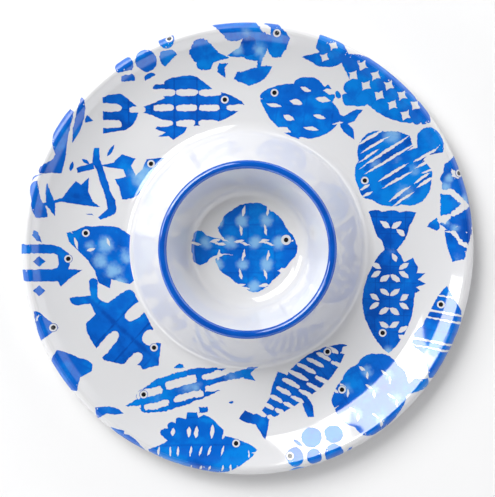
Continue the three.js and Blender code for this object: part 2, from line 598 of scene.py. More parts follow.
for test_radius in (30.0, 100.0, 140.0, 168.0, 172.0):
    test_place, _ = on_face(test_radius, 0)
    print("face at", test_radius, "mm is", round(test_place.z, 3), "mm high")

# %% Edges of a loop
SCISSOR_STEP = 1.0
CURL_STEP = 0.7
CURL_FROM = 165.0
SAME_POINT = 1e-4
TOO_CLOSE = 0.35  # points nearer than this to the one before are left out
WOBBLE = 0.36
CREEP_FINE = 0.62  # how fast the creep of the dye changes along an edge, per millimetre
CREEP_BROAD = 0.17
FINE_SHARE = 1.3
FINE_LAYERS = 7.3  # each fish has its own layer of the noise
BROAD_LAYERS, BROAD_START = 3.1, 40


def resampled(loop):
    """The same loop with evenly spaced points, which are closer together over the lip."""
    points = []
    for a, b in zip(loop, loop[1:] + loop[:1]):
        length = (b - a).length
        if length < SAME_POINT:
            continue
        step = CURL_STEP if max(a.length, b.length) > CURL_FROM else SCISSOR_STEP
        pieces = max(1, round(length / step))
        points += [a.lerp(b, i / pieces) for i in range(pieces)]
    thinned = []
    for point in points:
        if not thinned or (point - thinned[-1]).length > TOO_CLOSE:
            thinned.append(point)
    if len(thinned) > 3 and (thinned[0] - thinned[-1]).length < TOO_CLOSE:
        thinned.pop()
    return thinned


def creep(point, pace, layer):
    """How far and which way the dye creeps at a point, at a pace of change and on a layer of the noise."""
    return noise.noise_vector(Vector((point.x * pace, point.y * pace, layer)))


def bled(loop, amount, seed):
    """The loop with the dye crept a little past its edge, so that no edge is quite true."""
    moved = []
    for point in loop:
        fine = creep(point, CREEP_FINE, seed * FINE_LAYERS)
        broad = creep(point, CREEP_BROAD, seed * BROAD_LAYERS + BROAD_START)
        push = fine * amount * FINE_SHARE + broad * amount
        moved.append(point + Vector((push.x, push.y)))
    return moved


def inside(places, loop):
    """Which places lie inside a loop: a line from each to the right crosses it an odd number of times."""
    x, y = numpy.array([place[:2] for place in places]).reshape(-1, 2).T[:, :, None]
    start = numpy.array([point[:2] for point in loop])
    stop = numpy.roll(start, -1, axis=0)
    run, rise = (stop - start).T
    crosses = (start[:, 1] > y) != (stop[:, 1] > y)
    crossing = start[:, 0] + (y - start[:, 1]) * run / numpy.where(rise == 0, 1, rise)
    return (crosses & (x < crossing)).sum(axis=1) % 2 == 1


# %% Places to fill a fish with
FLOOR_PITCH = 2.6
CURL_PITCH = 0.65  # between rings of places over the lip
CURL_SPACING = 2.2  # between the places of one ring
EDGE_ROOM = 0.8  # no place is put in a square of this size that an edge goes through


def square_of(place):
    """The square of side EDGE_ROOM that a place lies in."""
    return round(place.x / EDGE_ROOM), round(place.y / EDGE_ROOM)


def filling(loops, taken):
    """Places inside the loops, closer together where the face is tightly curved, and none beside an edge."""
    low_x = min(point.x for loop in loops for point in loop)
    high_x = max(point.x for loop in loops for point in loop)
    low_y = min(point.y for loop in loops for point in loop)
    high_y = max(point.y for loop in loops for point in loop)
    near = {square_of(point) for point in taken}
    candidates = []
    for i in range(int((high_x - low_x) / FLOOR_PITCH) + 1):
        for j in range(int((high_y - low_y) / FLOOR_PITCH) + 1):
            shift = FLOOR_PITCH / 2 if j % 2 else 0
            place = Vector((low_x + i * FLOOR_PITCH + shift, low_y + j * FLOOR_PITCH))
            if place.length < CURL_FROM:
                candidates.append(place)
    farthest_out = max(math.hypot(x, y) for x in (low_x, high_x) for y in (low_y, high_y))
    radius = CURL_FROM
    while radius < min(farthest_out, print_edge):
        for place in circle(radius, int(math.tau * radius / CURL_SPACING)):
            if low_x <= place.x <= high_x and low_y <= place.y <= high_y:
                candidates.append(place)
        radius += CURL_PITCH
    candidates = [place for place in candidates if square_of(place) not in near]
    within = numpy.any([inside(candidates, loop) for loop in loops], axis=0)
    return [place for place, hit in zip(candidates, within) if hit]


# %% [markdown]
# ## One fish as one thin piece
#
# All loops of a fish go into one triangulation, whose triangles never cross an edge. Each triangle's centre
# is then tested against every loop, and the roles of those it lies in say whether it is dyed, dyed twice,
# eye or nothing. A loop whose bled edge crosses itself does no harm that way. What is kept becomes a closed
# skin: its top lies exactly on the platter's face, its bottom a little way down in the ground. The mesh
# also keeps the values that the dye needs: where each point is on the fish, where the fish was folded, how
# deep its colour is, how pale it is bleached there, and whether it is an edge, where wet dye gathers and
# dries darker.

# %% What a triangle is made of
DYE, DEEP, EYE_WHITE, EYE_BLACK = range(4)


def role_of(roles):
    """What a triangle that lies in loops of these roles is made of, or None."""
    if "pupil" in roles:
        return EYE_BLACK
    if "white" in roles:
        return EYE_WHITE
    if "beyond" in roles or "paper" not in roles:
        return None
    if "ring" in roles:
        return DEEP
    if "shape" not in roles or "cut" in roles:
        return None
    return DEEP if "stroke" in roles else DYE


# %% Islands too small to print
SMALLEST_ISLAND = 0.6  # square millimetres


def without_crumbs(kept, spots):
    """The kept triangles without the islands of dye that are too small to print."""
    parent = {}

    def top(k):
        while parent[k] != k:
            parent[k] = parent[parent[k]]
            k = parent[k]
        return k

    for triangle, _ in kept:
        for k in triangle:
            parent.setdefault(k, k)
        for k in triangle[1:]:
            parent[top(k)] = top(triangle[0])
    area = {}
    for triangle, _ in kept:
        share = abs(signed_area([spots[k] for k in triangle]))
        island = top(triangle[0])
        area[island] = area.get(island, 0) + share
    return [item for item in kept if area[top(item[0][0])] > SMALLEST_ISLAND]


# %% Values for the dye
SEED_STEP = 5.37  # moves each fish to another place in the noise of the dye
NO_FOLD = 0.5  # half way between two fold lines


def dye_values(places, seed, blots, folds, tone, bleach, at_edge):
    """Three values a point for each of three attributes, from the points' places on the fish."""
    fish_at = []
    fold_at = []
    wash = []
    for place, edge in zip(places, at_edge):
        fish_at += [place.x / 10, place.y / 10, seed * SEED_STEP]
        along = place.x / folds[0] if folds[0] else NO_FOLD
        across = place.y / folds[1] if folds[1] else NO_FOLD
        fold_at += [along, across, folds[2]]
        pale = bleach
        for x, y, size, paleness in blots:
            distance = (place - Vector((x, y))).length / size
            pale = max(pale, paleness * math.exp(-distance * distance))
        wash += [tone, pale, 1.0 if edge else 0.0]
    return {"fish_at": fish_at, "fold_at": fold_at, "wash": wash}


# %% The closed skin
def skin_of_dye(name, kept, spots):
    """A mesh with the kept triangles on top, and a bottom and sides. Also gives its points and its border."""
    used = sorted({k for triangle, _ in kept for k in triangle})
    index = {k: i for i, k in enumerate(used)}
    count = len(used)
    directed = {}
    for triangle, made_of in kept:
        for a, b in zip(triangle, triangle[1:] + triangle[:1]):
            directed[(index[a], index[b])] = made_of
    border = [(a, b, made_of) for (a, b), made_of in directed.items() if (b, a) not in directed]

    tops = []
    ups = []
    bottoms = []
    for k in used:
        place, up = on_face(spots[k].x, spots[k].y)
        tops.append(place * MM)
        bottoms.append((place - up * INK_DEPTH) * MM)
        ups.append(up)
    faces = []
    slots = []
    normals = []
    for triangle, made_of in kept:
        a, b, c = (index[k] for k in triangle)
        faces.append((a, b, c))
        slots.append(made_of)
        normals += [ups[a], ups[b], ups[c]]
    for triangle, made_of in kept:
        a, b, c = (index[k] for k in triangle)
        faces.append((c + count, b + count, a + count))
        slots.append(made_of)
        normals += [-ups[c], -ups[b], -ups[a]]
    for a, b, made_of in border:
        faces.append((a, a + count, b + count, b))
        slots.append(made_of)
        aside = (tops[b] - tops[a]).cross(ups[a]).normalized()
        normals += [aside] * 4

    mesh = bpy.data.meshes.new(name)
    mesh.from_pydata(tops + bottoms, [], faces)
    mesh.shade_smooth()
    mesh.polygons.foreach_set("material_index", slots)
    mesh.normals_split_custom_set(normals)
    return mesh, used, {k for a, b, _ in border for k in (a, b)}


# %% A fish from its loops
CUT_WOBBLE = 1.3  # a small hole bleeds more than the outside
EYE_IN_WELL = (4.0, 1.9)  # radius of the white, and of the pupil
EYE_ON_PLATTER = (3.05, 1.8)
EYE_RING = 0.4
EYE_STEPS = 26
WELL_EDGE_STEPS = 160
PRINT_EDGE_STEPS = 420
CENTRE_STEPS = 240
WELD = 1e-4  # points nearer than this are one point in the triangulation
fish_pieces = []


def fish(
    name, at, heading, loops, tone, flip=False, eye=None, blots=(), folds=(0, 0, 0), bleach=0.0, ragged=1.0
):
    """Lays a fish at a place on the platter with its head at a heading in degrees, and makes it one piece.

    loops are (role, loop). blots are (x, y, size, paleness) on the fish. folds are the spacing of its fold
    lines along and across, and their strength. tone runs from light azure at 0 to deep cobalt at 1. ragged is
    how far its edges have bled, from 1 where the paper was dry.
    """
    seed = len(fish_pieces) + 1
    turn = math.radians(heading)
    mirror = -1 if flip else 1
    in_well = math.hypot(*at) < well_corner

    def laid(point):
        return Vector(at) + turned_by(Vector((point.x, point.y * mirror)), turn)

    def drawn(place):
        local = turned_by(place - Vector(at), -turn)
        return Vector((local.x, local.y * mirror))

    roles = []
    closed = []
    for role, loop in loops:
        amount = WOBBLE * ragged * (CUT_WOBBLE if role == "cut" else 1.0)
        closed.append(bled(resampled([laid(point) for point in loop]), amount, seed))
        roles.append(role)
    if eye:
        white, pupil = EYE_IN_WELL if in_well else EYE_ON_PLATTER
        for role, size in (("ring", white + EYE_RING), ("white", white), ("pupil", pupil)):
            closed.append([laid(point) for point in circle(size, EYE_STEPS, *eye)])
            roles.append(role)
    if in_well:
        closed.append(circle(well_edge, WELL_EDGE_STEPS))
        roles.append("paper")
    else:
        closed += [circle(print_edge, PRINT_EDGE_STEPS), circle(platter_from, CENTRE_STEPS)]
        roles += ["paper", "beyond"]

    points = []
    polygons = []
    for loop in closed:
        ordered = loop if signed_area(loop) > 0 else loop[::-1]
        polygons.append(list(range(len(points), len(points) + len(ordered))))
        points += ordered
    points += filling([loop for loop, role in zip(closed, roles) if role == "shape"], points)
    spots, _, triangles, *_ = delaunay_2d_cdt(points, [], polygons, 0, WELD, False)
    centres = [sum((spots[k] for k in triangle), Vector((0, 0))) / 3 for triangle in triangles]
    within = [inside(centres, loop) for loop in closed]
    kept = []
    for k, triangle in enumerate(triangles):
        made_of = role_of({role for role, hits in zip(roles, within) if hits[k]})
        if made_of is not None:
            kept.append((tuple(triangle), made_of))
    kept = without_crumbs(kept, spots)

    mesh, used, on_border = skin_of_dye(name, kept, spots)
    at_edge = [i in on_border for i in range(len(used))]
    values = dye_values([drawn(spots[k]) for k in used], seed, blots, folds, tone, bleach, at_edge)
    for label, numbers in values.items():
        attribute = mesh.attributes.new(label, "FLOAT_VECTOR", "POINT")
        attribute.data.foreach_set("vector", numbers * 2)
    piece = bpy.data.objects.new(name, mesh)
    bpy.context.scene.collection.objects.link(piece)
    fish_pieces.append(piece)
    print(name, len(kept), "triangles on top")


# %% [markdown]
# ## The shoal on the far side
#
# From left to right along the top: a long fish with a lattice of slots, one made of round spots at the lip,
# a big mottled one whose back is cut off by the lip, a round one with short dashes, and a long one whose
# scales leave small four-cornered gaps between them.

# %% Lattice fish
loops = [
    body(56, -27, 15, 14, 0.45, 0.75, 1.25, 1.6, 4),
    shape(
        (33, 10), (30, 17), (18, 26, 1), (4, 26), (-2, 25), (-6, 23, 1), (-8, 20), (-13, 20, 1.5),
        (-17, 16), (-12, 14), (-6, 8),
    ),
    shape((12, -8), (8, -18), (-1, -24), (-4, -21), (-13, -21), (-7, -18), (-15, -15), (-10, -8)),
    shape((-26, 1.4), (-30, 3), (-41, 12, 1), (-56, 9), (-56, -19), (-39, -16, 2), (-29, -4)),
]
for x, y, row, column in grid(-9, 30, 18, -10.6, 14, 12.1):
    loops.append(slot(x + row * 0.6, y, 15.5 + row, 5.4, 0, 3.2))
loops.append(slot(53, 1.7, 23, 5.2, 0, 3))
loops += [slot(-51, y, 19, 6.4, 0, 3) for y in (1.5, -11.5)]
loops.append(slot(-29, 0.2, 13, 5, 0, 3))
fish("fish_lattice", (-58, 110), 0, loops, eye=(40, 8), folds=(18, 12.1, 0.9), tone=0.72)

# %% Spotted fish at the lip
loops = [
    spot(0, 0, 16.6, 17), spot(18, 14, 13, 15), spot(17.5, -0.5, 14, 15), spot(-17.8, -1, 15, 15),
    spot(-16.5, -12, 11, 9), spot(1, -14, 10, 9),
    cut((-26, -9), (-26, -6), (-8, -6), (-8, -8.6)),
    cut((6, 6.4), (28, 6.9), (28, 5.6), (6, 5.4)),
    cut((12, -8), (28, 4), (28, -12)),
    cut((-8, -17), (8, -10.5), (12, -24), (-8, -24)),
    cut((-26, -13), (-8, -14), (-8, -20), (-26, -20)),
]
fish("fish_spots_far", (-79.5, 148), 9, loops, eye=(20.5, 14), tone=0.55, bleach=0.18)

# %% Mottled fish under the far lip
loops = [
    shape(
        (37, 1), (29, 13, 1), (28, 34), (-25, 36), (-22, 18), (-12, 6, 1), (0, 5), (-4, -1), (-14, -6),
        (-4, -10), (-8, -16), (-12, -24), (1, -31.5, 3), (20, -19, 2), (30, -9, 1),
    ),
    shape(
        (-12, -8), (-21, -2), (-26, 5), (-31, 9, 2), (-41, 4, 3), (-39, -8, 2), (-33, -15, 2), (-26, -11),
        (-20, -9),
    ),
    shape((-21, -11), (-14, -12), (-17, -16), (-17, -23), (-23, -17)),
    cut((13, 36), (12, 15), (17, 8), (22, 5), (23, 11), (19, 15), (22, 36)),
    cut((11, -17), (14, -11), (18, -5), (21, -11), (29, -13), (25, -21), (17, -17)),
    cut((-17, -15), (-11, -9), (-2, -8), (3, -12), (9, -13), (8, -18), (0, -19), (-8, -20), (-12, -25)),
    stroke(4, -1, 13, 14, 20, 3),
]
blots = [
    (-5, -2, 6, 0.9), (12, -4, 7, 0.8), (4, 10, 7, 0.6), (-1, -16, 7, 0.5), (16, -12, 6, 0.8),
    (-14, 8, 5, 0.4),
]
fish("fish_mottled_far", (-3, 160), 7, loops, eye=(27, 6), blots=blots, tone=0.42, ragged=1.9)

# %% Round fish with dashes
loops = [
    body(37, -28, 17, 25, 0.5, 0.66, 0.62, 2.4, 4, -4),
    shape((14, 12), (11, 20, 1), (2, 23.5, 1.5), (-9, 21), (-13, 18), (-15, 20, 1), (-22, 11), (-18, 2)),
    shape(
        (-26, -1), (-31, -3), (-36, 1, 1), (-45, 4), (-41, -3, 1), (-35, -8), (-40, -12), (-42, -20),
        (-34, -16, 1), (-28, -7),
    ),
    mouth(38, 1.5, 4, 0.9), snip(-27, -9, 9, 1.6, -20),
]
dashes = [
    (25, -2), (8, 3), (2, 14), (-13, 8), (-12, -6), (12, -10), (-7, -16), (14, -20), (-3, -25.5),
    (-18, 15),
]
for k, (x, y) in enumerate(dashes):
    loops.append(snip(x, y, 12.5 - 1.4 * (k % 3), 3.2 + 1.1 * (k % 2), 2 + 6 * (k % 3)))
fish("fish_dashes", (46, 112), 172, loops, flip=True, eye=(26, 8), folds=(22, 26, 0.35), tone=0.52)

# %% Long fish with scales, along the lip
loops = [
    body(58, -26, 22, 17.5, 0.5, 0.7, 1.0, 4),
    shape(
        (-24, 4), (-34, 9, 1), (-54, 8), (-51, -2, 2), (-45, -8), (-54, -19), (-44, -17, 1), (-34, -14, 1),
        (-26, -5),
    ),
    shape((-12, -8), (-14, -15, 2), (-8, -20, 2), (-8, -26, 2), (0, -26), (9, -20), (12, -14)),
    spot(-13, -25, 6.5, 4, -30),
]
for x, y, row, column in grid(-12.6, 42, 12.9, -6.4, 14, 10.3, 0.1):
    loops.append(gap(x, y, 9.4, 8 * math.sin(x)))
loops += [gap(-39, y, 8.4, 10) for y in (2.4, -8.5)]
loops += [mouth(59, -2, 5, 1.2), cut((46, -12), (47, -8), (51, -8), (52, -4), (57, -8), (54, -14))]
fish("fish_scales", (97, 134), -37, loops, eye=(39.5, 12), folds=(12.9, 10.3, 0.25), tone=0.4)

# %% [markdown]
# ## The shoal on the right
#
# A blunt fish crossed by long strokes of deep dye, a mottled one that stands on its tail at the lip, one
# with a lattice of leaves that dives, a striped one and a broad one with star-like snips, both where the
# light glares.

# %% Fish with long strokes
loops = [
    shape(
        (-30, -16, 3), (-30, 5, 3), (-25, 24, 2), (-10, 28, 1.5), (10, 24), (13, 16), (8, 12), (16, 15),
        (16, 24, 3), (27, 30, 4), (35, 11), (24, 9), (19, 3), (21, 5), (26, -1, 1.5), (27, -10, 2),
        (21, -27, 2), (4, -30, 3), (-20, -26, 3),
    ),
]
strokes = [
    (-29, 14, -8, 27, 5), (-26, -3, 12, 21, 5), (-12, -14, 10, -1, 5), (14, 1, 33, 12, 3.4),
    (-28, -21, -20, -17, 4), (-4, -29, 12, -18, 3.4), (15, -15, 27, -7, 2.4),
]
for x1, y1, x2, y2, width in strokes:
    a, b = Vector((x1, y1)), Vector((x2, y2))
    tilt = math.degrees(math.atan2(y2 - y1, x2 - x1))
    middle = (a + b) / 2
    loops.append(stroke(*middle, (b - a).length, width, tilt, 3.4))
    for side in (-1, 1):
        beside = middle + left_of((b - a).normalized()) * side * (width / 2 + 0.9)
        loops.append(snip(*beside, (b - a).length * 1.12, 2.3, tilt + side))
loops += [snip(-22, 8.5, 20, 2.0, 33), snip(27, -2, 18, 2.0, 26)]
blots = [(-4, 24, 9, 0.8), (-16, 2, 7, 0.6), (14, -2, 8, 0.55), (6, -20, 9, 0.65), (0, 6, 6, 0.5)]
fish("fish_strokes", (118, 65), 0, loops, eye=(-25, -11), blots=blots, tone=0.3, ragged=1.2)

# %% Mottled fish at the right lip
loops = [
    shape(
        (51, -6), (47, -2), (45, 2), (38, 4, 1), (30, 5), (21, 6.5), (5, 7.5), (0, 3), (-4, 0), (-4, -5),
        (-12, -16), (50, -22),
    ),
    shape((-3, 18), (-7, 11, 1), (-3, 8), (3, 10, 1)),
    shape((3, 1), (-2, 8), (-8, 1), (-3, -6)),
    shape((-7, 5), (-20, 4), (-32, 1), (-31, -8), (-20, -12), (-8, -16), (-2, -16), (-5, -4)),
    cut((41, -3), (38, -8), (43, -11), (35, -14), (33, -8), (35, -3)),
    cut((29, 9), (24, 3), (25, -2), (18, -9), (11, -16), (8, -13), (15, -6), (20, -1), (21, 4), (22, 9)),
    cut((1, 10), (-2, 4), (3, -1), (5, -6), (9, -13), (13, -10), (10, -4), (6, 0), (5, 5)),
    cut((-8, 6), (-10, 0), (-18, -5), (-23, -12), (-19, -12), (-14, -6), (-8, -3)),
]
blots = [
    (27, 2, 5, 0.9), (15, -11, 6, 0.8), (0, 4, 4, 0.9), (-6, -3, 5, 0.8), (33, -1, 5, 0.8),
    (-30, -4, 8, 0.4),
]
fish("fish_mottled_right", (160, 22), 94, loops, eye=(37, -9), blots=blots, tone=0.6, ragged=1.7)

# %% Diving fish with a lattice of leaves
loops = [
    body(56, -27, 19, 21.5, 0.5, 0.78, 0.8, 4),
    shape(
        (-24, 4), (-33, 10, 1), (-44, 14), (-56, 20, 1), (-56, 7, 1.5), (-56, -7, 1.5), (-56, -18),
        (-42, -13, 1), (-33, -7), (-24, -4),
    ),
    shape(
        (14, 14), (14, 19), (8, 20), (6, 24), (3, 21), (0, 28), (-3, 22), (-8, 28), (-8, 21), (-13, 22),
        (-16, 20), (-20, 18), (-15, 8),
    ),
]


def chevron(x, y, point, opening):
    """Two leaves that lean together towards +x, or towards -x where point is -1."""
    return [snip(x, y + side * opening, 9.6, 4.4, -point * side * 56) for side in (1, -1)]


for centre in (2, 28):
    loops += chevron(centre - 5.5, 0, -1, 4.2)
    loops += chevron(centre + 5.5, 0, 1, 4.2)
for x, y in ((-10, 11), (-10, -11), (15, 11.5), (15, -12), (40, 11)):
    loops += [snip(x - 3.4, y, 9, 4.2, -56 if y > 0 else 56), snip(x + 3.4, y, 9, 4.2, 56 if y > 0 else -56)]
loops.append(snip(-20, 3, 8, 4.2, 30))
loops += chevron(-46, 0, 1, 4.6)
loops.append(snip(-40, 8, 9, 4.2, 50))
blots = [(-24, 0, 7, 0.45), (55, 0, 7, 0.8), (-30, 8, 5, 0.4)]
fish("fish_leaves", (113, -27), -91, loops, eye=(40, -5), blots=blots, folds=(13, 11.5, 0.5), tone=0.85)

# %% Striped fish in the glare
loops = [
    shape(
        (36, 0), (25, -9, 1), (13, -16, 1), (-3, -14, 1), (-18, -10), (-37, -4), (-37, 2), (-20, 8),
        (-16, 16, 2), (-10, 18, 2), (2, 13), (22, 7, 1),
    ),
]
for k, x in enumerate((27, 14, 8.5, -10, -15)):
    loops.append(cut((x, -26), (x + 1.9, -26), (x + 1.2 + 0.8 * (k % 2), 26), (x + 0.4, 26)))
fish("fish_stripes", (151, -65), 80, loops, eye=(21, 2), folds=(10, 0, 0.7), tone=0.45, bleach=0.12)

# %% Broad fish in the glare
loops = [
    shape(
        (30, 4, 1), (28, 11, 1), (14, 20, 2), (-2, 25, 3), (-20, 25, 3), (-30, 10, 2), (-31, -4, 2),
        (-24, -14, 1), (-12, -23, 2), (12, -29, 3), (23, -17, 3),
    ),
    shape((-26, -7), (-38, -5, -1), (-46, -9), (-44, -17), (-26, -13)),
]
stars = [(14, 12), (16, -8), (-4, 2), (-6, 17), (2, -20), (-20, 6), (-16, -12)]
for x, y in stars:
    loops.append(snip(x + 2, y + 3.4, 6.5, 2.0, 62))
    loops.append(snip(x + 1, y - 3.4, 6.5, 2.0, -62))
loops += [mouth(31, 3, 5, 1.0), snip(23, 15, 7, 2, 70)]
fish(
    "fish_broad", (97, -115), 208, loops, flip=True, eye=(18, 13),
    blots=[(x, y, 6.0, 0.75) for x, y in stars], folds=(19, 21, 0.3), tone=0.6,
)

# %% [markdown]
# ## The shoal on the near side
#
# A fish snipped into slanting bars, round spots again, a fish with a scalloped back and rows of upright
# slits, and a slender one with two courses of oblongs like bricks.

# %% Fish with slanting bars
loops = [
    body(54, -34, 15, 12, 0.42, 0.72, 1.1, 4),
    shape((4, 10), (-1, 20), (-12, 14), (-20, 8), (-8, 2)),
    shape((-31, 4), (-38, 7), (-41, 14), (-49, 12), (-46, 5), (-42, 0), (-44, -14), (-38, -10), (-31, -4)),
    shape((-1, -8), (-4, -14), (-7, -23), (-3, -26), (2, -19), (4, -9)),
]
for k in range(10):
    x = 44 - 8.4 * k
    high = 7.5 + 8.5 * math.exp(-(((x - 14) / 26) ** 2))
    loops.append(slot(x - 1.2, high * 0.44, high * 1.1, 3.6, 112, 2.6))
    if k % 2 or k > 3:
        loops.append(slot(x + 2.6, -high * 0.58, high * 0.95, 3.4, 112, 2.6))
loops += [cut((50, -7), (46, -2), (51, 1), (57, -2)), cut((8, 22), (4, 13), (2, 13), (3, 22))]
fish("fish_bars", (38, -112), 41, loops, eye=(39, 6), folds=(8.4, 0, 0.5), tone=0.9)

# %% Spotted fish at the near lip
loops = [
    spot(14, -7, 13, 15), spot(0, 7, 16, 15), spot(-1, -7.5, 12, 12), spot(-17.5, 8.5, 15, 13),
    spot(-17, -7, 15, 17), spot(12, -20, 14, 10), spot(0, -20.5, 15, 9), fin(11, 3.5, 9, 3, 40),
    cut((-10, 16), (-12, -2), (-10.4, -2), (-8.4, 16)),
]
fish("fish_spots_near", (51, -156), 184, loops, flip=True, eye=(18, -6), tone=0.35, bleach=0.16)

# %% Fish with upright slits
loops = [
    body(44, -42, 10, 21, 0.45, 0.8, 0.95, 1.2, -4, -4),
    shape(
        (17, 4), (17, 11), (12, 16, 1), (1, 23), (-3, 21), (-4, 25), (-12, 25), (-13, 20), (-17, 21, 2),
        (-21, 17), (-24, 18, 2), (-27, 13), (-30, 13, 2), (-32, 8), (-27, 4), (-34, -1),
    ),
]
for x in (-23, -10.5, -4.5, 8):
    loops.append(snip(x, 10, 10 + 0.15 * x, 3.4, 86))
for x, y, row, column in grid(-34, 26, 8.2, -17.5, -4, 13):
    if not (row == 1 and column == 7):
        size = 8.0 if row else 5.5
        loops.append(snip(x + 1.2 * math.sin(column * 2.3), y, size, 1.8, 80 + 12 * math.sin(column)))
loops += [snip(17.5, 8, 8, 1.6, 70), snip(37, -7, 6, 1.2, 88), mouth(44.5, -6, 6, 1.2)]
fish("fish_slits", (-36, -155), 0, loops, eye=(27, 1), folds=(0, 21, 0.6), tone=0.45)

# %% Slender fish with courses of oblongs
loops = [
    shape(
        (44, 7, 1), (38, 10, 1.5), (14, 16, 1), (-12, 16.5), (-31, 11), (-14, 9), (-10, -3), (-22, -5),
        (-4, -8), (10, -10, 1), (36, -9, 1.5), (44, -3),
    ),
    shape(
        (54, 0.5), (44, 4), (-24, 6), (-46, 8), (-56, 8), (-48, 3), (-51, -4), (-42, 1), (-24, 2), (40, -2),
    ),
]
courses = [(33, 6.4, 21, 6), (7, 8.6, 25, 6.6), (-19, 8.6, 17, 5.2), (30, -4.6, 19, 5), (4, -3.4, 25, 5.4)]
loops += [slot(*course, -1, 5) for course in courses]
loops += [
    slot(45, -3.4, 7, 2.6, -20),
    shape((1, 19.5), (4, 23, 1), (10, 20.5)),
    shape((-2, -14), (-9, -15, 1), (-8, -19), (-2, -18)),
    fin(-28, -15.5, 3, 1.6, 10),
]
fish(
    "fish_courses", (-44, -113), 193, loops, flip=True, eye=(38, 6), folds=(26, 0, 0.5),
    blots=[(0, 3, 12, 0.6), (-34, 4, 10, 0.6), (28, 2, 9, 0.5)], tone=0.5, ragged=2.0,
)

# %% [markdown]
# ## The shoal on the left
#
# A slender fish and a skeleton of crossed strokes, a mottled one that the raised centre cuts off, a big one
# with long windows at the lip, one with deep rounded notches, and a few heads and tails that the lip cuts
# off.

# %% Slender fish at the left lip
loops = [
    shape((21, 3, 1), (8, 7, 1), (-6, 5, 1), (-17, -3), (-14, -9), (2, -5), (20, -2)),
    shape((33, -2, 1), (31, -6, 1), (16, -11, 1), (-3, -10), (8, -6), (22, -4)),
    shape((-13, -2), (-20, -2), (-30, 5, 1), (-35, 3), (-31, -5), (-28, -12), (-18, -10), (-13, -9)),
    shape((20, -18), (16, -13, 1), (22, -12)),
    fin(-20, -16.5, 8, 3.4, 12),
]
fish("fish_slender", (-146, 90), 66, loops, tone=0.75)

# %% Skeleton of crossed strokes
loops = [
    shape(
        (-4, 30), (0, 31), (1, 22), (9, 2, -1), (15, -10), (16, -17, 1), (12, -22), (4, -26), (2, -24),
        (9, -17), (7, -8), (1, 6, -1), (-5, 19),
    ),
    shape((-4, 19), (-17, 14), (-16, 10), (-10, 12), (-3, 14)),
    shape(
        (1, 17), (12, 20), (18, 27), (24, 25), (29, 24), (26, 18), (30, 10), (28, -4, 2), (20, -9), (17, 1),
        (13, 7), (22, 9), (20, 15), (8, 16),
    ),
    fin(9, 29, 11, 3, 62), fin(-10, 19.5, 7, 3, -30),
    shape((-29, -13), (-17, 4), (-13, 1), (-7, 7), (-7, -4), (-3, -12), (3, -16), (-12, -15)),
    shape((-27, -13), (-41, -18), (-41, -15), (-26, -10)),
    shape((-39, 1), (-34, -10, 1), (-32, -25), (-38, -17, 1)),
    shape((-53, -2, 1), (-46, 2), (-43, -12, 1), (-37, -26), (-46, -27, 1), (-50, -14)),
    shape((-57, 4), (-42, 8), (-49, 4.5), (-56, 0)),
    shape((24, -8), (26, 2, 1), (35, 16), (38, 24), (52, 26), (45, 18), (40, 8), (33, -4, 1)),
    shape((-8, -22), (-2, -23), (-3, -21.4)),
]
fish("fish_bones", (-119, 49), -3, loops, eye=(41.5, 20.5), blots=[(36, 10, 13, 0.9)], tone=0.6)

# %% Mottled fish cut off by the raised centre
loops = [
    shape(
        (33, 0), (28, 9, 1), (22, 17, 1), (6, 31), (-10, 34), (-32, 14), (-31, 4), (-18, -3), (-22, -9),
        (-12, -12), (-4, -7), (6, -5), (20, -4), (27, -4),
    ),
    mouth(34, 3, 5, 1.2), snip(22, -1, 10, 2.4, 30), snip(10, 3, 7, 2.6, 120), snip(4, 17, 7, 2.6, 30),
]
blots = [
    (12, 5, 6, 0.8), (4, 14, 8, 0.95), (-2, 2, 8, 0.8), (-14, 3, 9, 0.9), (-14, 18, 8, 0.8),
    (-24, 0, 7, 0.9),
]
fish("fish_mottled_left", (-119, -10), 137, loops, flip=True, eye=(22, 10), blots=blots, tone=0.6)

# %% Fish with a long window
loops = [
    shape(
        (-40, 18), (-8, 17.5, 1.5), (7, 12, 1), (11, 6), (9, -2), (20, -3), (10, -10), (3, -16), (1, -12),
        (-40, -11),
    ),
    slot(-15, 4, 33, 12.8, 0, 5),
    cut((-44, 10.4), (-14, 10.2), (-14, -2.4), (-44, -2.2)),
]
fish("fish_window", (-151, -14), 0, loops, eye=(9, 6), tone=0.75)
for name, y in (("diamond_upper", 4), ("diamond_lower", -19)):
    fish(name, (-164, -14 + y), 0, [shape((-4.6, 0), (0, -4.4), (4.6, 0), (0, 4.4))], tone=0.7)

# %% Notched fish
loops = [
    shape(
        (48, -2), (38, 12), (33, 10), (25, 17), (14, 21), (2, 25), (-5, 28, 2), (-12, 22), (-15, 8, -1),
        (-24, 6), (-33, 16, 2), (-38, 11), (-29, 3), (-40, -9, 2), (-31, -9), (-25, -2), (-16, -5),
        (-17, -16, 1), (-4, -23), (13, -28), (25, -21), (37, -12), (41, -13),
    ),
    slot(28.5, 10, 12.5, 13, 0, 2.2), slot(6, 18, 10, 20, -8, 2.6), slot(6.5, -18, 9, 27, 2, 2.8),
    slot(31, -13, 8.5, 17, -4, 2.6),
]
fish("fish_notches", (-105, -59), -42, loops, eye=(36, 6), folds=(20, 56, 0.8), tone=0.62)

